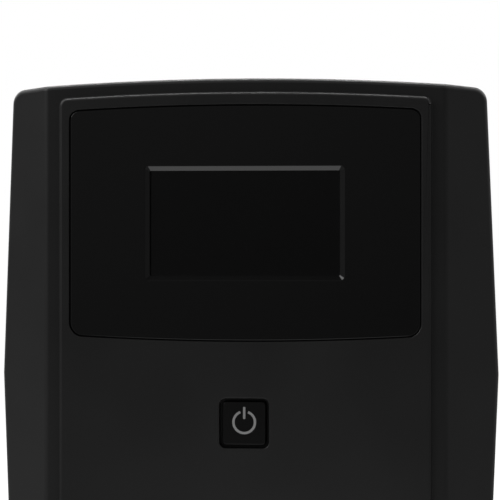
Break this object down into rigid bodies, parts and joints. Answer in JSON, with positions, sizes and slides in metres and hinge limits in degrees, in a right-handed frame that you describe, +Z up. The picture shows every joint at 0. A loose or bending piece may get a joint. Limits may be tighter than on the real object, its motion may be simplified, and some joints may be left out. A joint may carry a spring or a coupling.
{
  "type": "uninterruptible power supply",
  "caption": "Tower uninterruptible power supply: black moulded bezel with a glossy display panel and sprung power button on a steel case, with mains outlets, fan and breaker behind.",
  "frame": {"origin": "on the surface that the feet stand on, below the middle of the overall box", "axes": "+Z up; the front, with its display, faces -Y; +X is to the right of someone looking at the front"},
  "size_m": [0.14, 0.345, 0.17],
  "materials": {
    "bezel_plastic": "fine satin moulded texture",
    "gloss_black": "polished",
    "lens_clear": "clear, lightly smoked",
    "lcd_dark": "glass over a dark passive display",
    "white_plastic": "moulded",
    "circuit_green": "solder resist over glass fibre",
    "screw_zinc": "zinc plated",
    "screw_black": "black oxide",
    "button_plastic": "smooth satin",
    "print_grey": "pad-printed ink",
    "spring_steel": "drawn wire",
    "black_plastic": "moulded",
    "plunger_red": "moulded",
    "ribbon_grey": "flat vinyl ribbon",
    "case_paint": "fine textured powder coat",
    "foot_rubber": "moulded",
    "battery_case": "moulded",
    "terminal_brass": "tin over brass",
    "bracket_zinc": "zinc plated sheet",
    "foam_pad": "foam strip",
    "lead_blue": "vinyl insulation",
    "lead_red": "vinyl insulation",
    "lead_black": "vinyl insulation",
    "core_steel": "varnished laminations",
    "copper_wire": "enamelled copper wire",
    "sink_aluminium": "extruded",
    "relay_blue": "moulded",
    "capacitor_sleeve": "shrunk sleeve",
    "fuse_holder": "moulded",
    "block_green": "moulded",
    "pin_nickel": "nickel plated",
    "button_white": "moulded",
    "usb_metal": "nickel plated shell"
  },
  "bodies": {
    "case": {"front_bezel": "bezel_plastic", "display_panel": "gloss_black", "display_lens": "lens_clear", "lcd_module": "lcd_dark", "lcd_holder": "white_plastic", "display_board": "circuit_green", "display_board_screws": "screw_zinc", "button_spring": "spring_steel", "power_switch": "black_plastic", "bezel_screws": "screw_zinc", "ribbon_cable": "ribbon_grey", "chassis_tray": "case_paint", "rear_panel": "case_paint", "top_cover": "case_paint", "cover_screws": "screw_black", "rubber_feet": "foot_rubber", "foot_screws": "screw_black", "rear_panel_screws": "screw_black", "battery_front": "battery_case", "battery_rear": "battery_case", "battery_terminals": "terminal_brass", "battery_bracket": "bracket_zinc", "battery_bracket_screws": "screw_zinc", "battery_pads": "foam_pad", "battery_link_lead": "lead_blue", "battery_positive_lead": "lead_red", "battery_negative_lead": "lead_black", "transformer_core": "core_steel", "transformer_bobbin": "white_plastic", "transformer_windings": "copper_wire", "transformer_frame": "bracket_zinc", "transformer_bolts": "screw_zinc", "main_board": "circuit_green", "board_standoffs": "terminal_brass", "board_screws": "screw_zinc", "heat_sinks": "sink_aluminium", "power_transistors": "black_plastic", "relays": "relay_blue", "capacitors": "capacitor_sleeve", "board_fuse": "fuse_holder", "buzzer": "black_plastic", "terminal_block": "block_green", "ribbon_header": "white_plastic", "fan_frame": "black_plastic", "fan_screws": "screw_black", "ac_inlet": "black_plastic", "inlet_pins": "pin_nickel", "outlet_1": "black_plastic", "outlet_2": "black_plastic", "outlet_3": "black_plastic", "outlet_4": "black_plastic", "breaker_body": "black_plastic", "data_ports": "black_plastic", "usb_port": "usb_metal"},
    "power_button": {"power_button": "button_plastic", "power_symbol": "print_grey"},
    "switch_plunger": {"switch_plunger": "plunger_red"},
    "fan_rotor": {"fan_rotor": "black_plastic"},
    "breaker_button": {"breaker_button": "button_white"}
  },
  "joints": [
    {"name": "power_button_press", "type": "slide", "parent": "case", "child": "power_button", "axis": [0, 1, 0], "range_m": [0, 0.0015], "stiffness_N_per_m": 300, "springref_m": -0.003, "deforming": ["button_spring"]},
    {"name": "switch_plunger_press", "type": "slide", "parent": "case", "child": "switch_plunger", "axis": [0, 1, 0], "range_m": [0, 0.0015]},
    {"name": "fan_spin", "type": "hinge", "parent": "case", "child": "fan_rotor", "pos_m": [-0.0283, 0.1575, 0.1253], "axis": [0, 1, 0], "continuous": true},
    {"name": "breaker_trip", "type": "slide", "parent": "case", "child": "breaker_button", "axis": [0, 1, 0], "range_m": [0, 0.004]}
  ],
  "couplings": [
    {"joint": "switch_plunger_press", "follows": "power_button_press", "ratio": 1}
  ]
}
